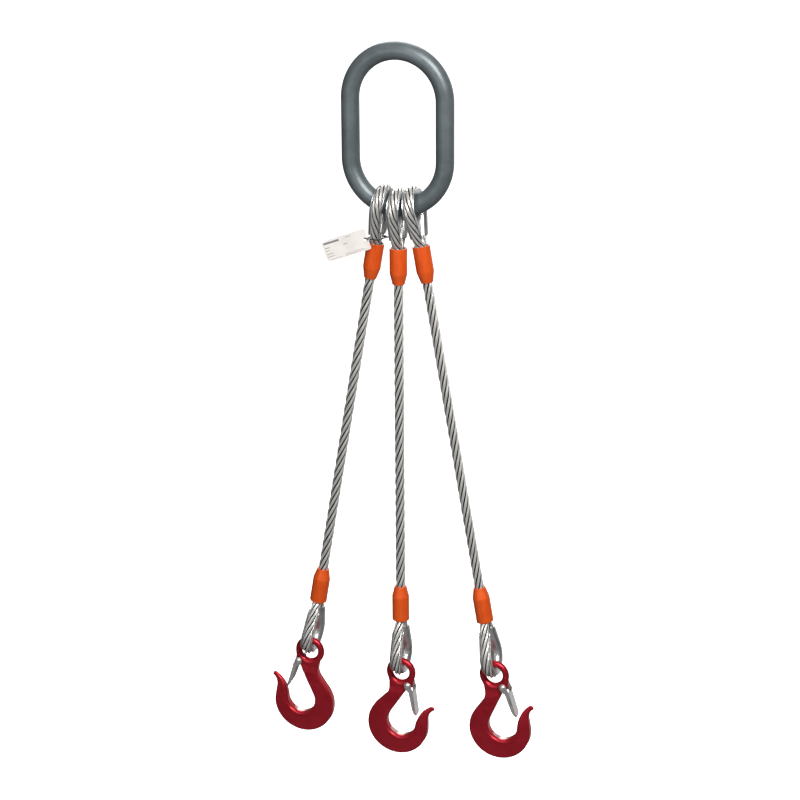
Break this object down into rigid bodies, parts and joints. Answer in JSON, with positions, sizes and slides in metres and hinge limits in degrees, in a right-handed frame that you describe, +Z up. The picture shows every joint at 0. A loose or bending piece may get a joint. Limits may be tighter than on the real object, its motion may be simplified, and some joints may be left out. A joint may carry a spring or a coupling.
{
  "type": "wire rope sling",
  "caption": "Bridle sling: an oblong master link carries wire rope legs with thimbled eyes and pressed sleeves, each ending in a latched eye hook, with an identity tag tied on.",
  "frame": {"origin": "the crane hook's seat at the middle of the top crown, inside the master link's opening", "axes": "+Z up, against the pull of the load; +X along the width of the link, towards the side the middle and right hooks open; +Y away from the front"},
  "size_m": [0.2858, 0.0454, 0.75],
  "materials": {
    "link_paint": "semi-gloss",
    "rope_steel": "drawn wire",
    "thimble_zinc": "galvanised",
    "sleeve_paint": "satin",
    "hook_paint": "gloss",
    "latch_steel": "zinc plated",
    "pin_steel": "zinc plated",
    "spring_steel": "drawn wire",
    "tag_plate": "matt",
    "tie_black": "matt"
  },
  "bodies": {
    "link": {"master_link": "link_paint"},
    "left_eye": {"left_rope_top": "rope_steel", "left_top_thimble": "thimble_zinc", "left_top_sleeve": "sleeve_paint", "tag_tie": "tie_black"},
    "left_upper": {"left_rope_upper": "rope_steel"},
    "left_lower": {"left_rope_lower": "rope_steel", "left_bottom_thimble": "thimble_zinc", "left_bottom_sleeve": "sleeve_paint"},
    "left_hook": {"left_hook": "hook_paint", "left_latch_pin": "pin_steel"},
    "left_latch": {"left_latch": "latch_steel", "left_latch_spring": "spring_steel"},
    "middle_eye": {"middle_rope_top": "rope_steel", "middle_top_thimble": "thimble_zinc", "middle_top_sleeve": "sleeve_paint"},
    "middle_upper": {"middle_rope_upper": "rope_steel"},
    "middle_lower": {"middle_rope_lower": "rope_steel", "middle_bottom_thimble": "thimble_zinc", "middle_bottom_sleeve": "sleeve_paint"},
    "middle_hook": {"middle_hook": "hook_paint", "middle_latch_pin": "pin_steel"},
    "middle_latch": {"middle_latch": "latch_steel", "middle_latch_spring": "spring_steel"},
    "right_eye": {"right_rope_top": "rope_steel", "right_top_thimble": "thimble_zinc", "right_top_sleeve": "sleeve_paint"},
    "right_upper": {"right_rope_upper": "rope_steel"},
    "right_lower": {"right_rope_lower": "rope_steel", "right_bottom_thimble": "thimble_zinc", "right_bottom_sleeve": "sleeve_paint"},
    "right_hook": {"right_hook": "hook_paint", "right_latch_pin": "pin_steel"},
    "right_latch": {"right_latch": "latch_steel", "right_latch_spring": "spring_steel"},
    "tag": {"id_tag": "tag_plate"}
  },
  "joints": [
    {"name": "left_swing", "type": "hinge", "parent": "link", "child": "left_eye", "pos_m": [-0.0164, 0, -0.14173], "axis": [1, 0, 0], "range_deg": [-80, 80]},
    {"name": "left_splay", "type": "hinge", "parent": "left_eye", "child": "left_upper", "pos_m": [-0.03058, 0, -0.22381], "axis": [0, 1, 0], "range_deg": [-2, 35], "stiffness_Nm_per_rad": 6},
    {"name": "left_flex", "type": "hinge", "parent": "left_upper", "child": "left_lower", "pos_m": [-0.0574, 0, -0.37911], "axis": [1, 0, 0], "range_deg": [-45, 45], "stiffness_Nm_per_rad": 5},
    {"name": "left_hook_swing", "type": "hinge", "parent": "left_lower", "child": "left_hook", "pos_m": [-0.10018, 0, -0.62675], "axis": [0, 1, 0], "range_deg": [-10, 60]},
    {"name": "left_latch_turn", "type": "hinge", "parent": "left_hook", "child": "left_latch", "pos_m": [-0.11142, 0, -0.64013], "axis": [0, -1, 0], "range_deg": [0, 35], "stiffness_Nm_per_rad": 0.05, "springref_deg": -28.65},
    {"name": "middle_swing", "type": "hinge", "parent": "link", "child": "middle_eye", "pos_m": [0, 0, -0.145], "axis": [1, 0, 0], "range_deg": [-80, 80]},
    {"name": "middle_splay", "type": "hinge", "parent": "middle_eye", "child": "middle_upper", "pos_m": [0, 0, -0.2283], "axis": [0, 1, 0], "range_deg": [-2, 2], "stiffness_Nm_per_rad": 6},
    {"name": "middle_flex", "type": "hinge", "parent": "middle_upper", "child": "middle_lower", "pos_m": [0, 0, -0.3859], "axis": [1, 0, 0], "range_deg": [-45, 45], "stiffness_Nm_per_rad": 5},
    {"name": "middle_hook_swing", "type": "hinge", "parent": "middle_lower", "child": "middle_hook", "pos_m": [0, 0, -0.6372], "axis": [0, 1, 0], "range_deg": [-12, 12]},
    {"name": "middle_latch_turn", "type": "hinge", "parent": "middle_hook", "child": "middle_latch", "pos_m": [0.0088, 0, -0.6523], "axis": [0, 1, 0], "range_deg": [0, 35], "stiffness_Nm_per_rad": 0.05, "springref_deg": -28.65},
    {"name": "right_swing", "type": "hinge", "parent": "link", "child": "right_eye", "pos_m": [0.0164, 0, -0.14173], "axis": [1, 0, 0], "range_deg": [-80, 80]},
    {"name": "right_splay", "type": "hinge", "parent": "right_eye", "child": "right_upper", "pos_m": [0.03058, 0, -0.22381], "axis": [0, 1, 0], "range_deg": [-35, 2], "stiffness_Nm_per_rad": 6},
    {"name": "right_flex", "type": "hinge", "parent": "right_upper", "child": "right_lower", "pos_m": [0.0574, 0, -0.37911], "axis": [1, 0, 0], "range_deg": [-45, 45], "stiffness_Nm_per_rad": 5},
    {"name": "right_hook_swing", "type": "hinge", "parent": "right_lower", "child": "right_hook", "pos_m": [0.10018, 0, -0.62675], "axis": [0, 1, 0], "range_deg": [-60, 10]},
    {"name": "right_latch_turn", "type": "hinge", "parent": "right_hook", "child": "right_latch", "pos_m": [0.11142, 0, -0.64013], "axis": [0, 1, 0], "range_deg": [0, 35], "stiffness_Nm_per_rad": 0.05, "springref_deg": -28.65},
    {"name": "tag_swing", "type": "hinge", "parent": "left_eye", "child": "tag", "pos_m": [-0.02927, -0.0164, -0.174], "axis": [0, 1, 0], "range_deg": [-75, 15]}
  ]
}
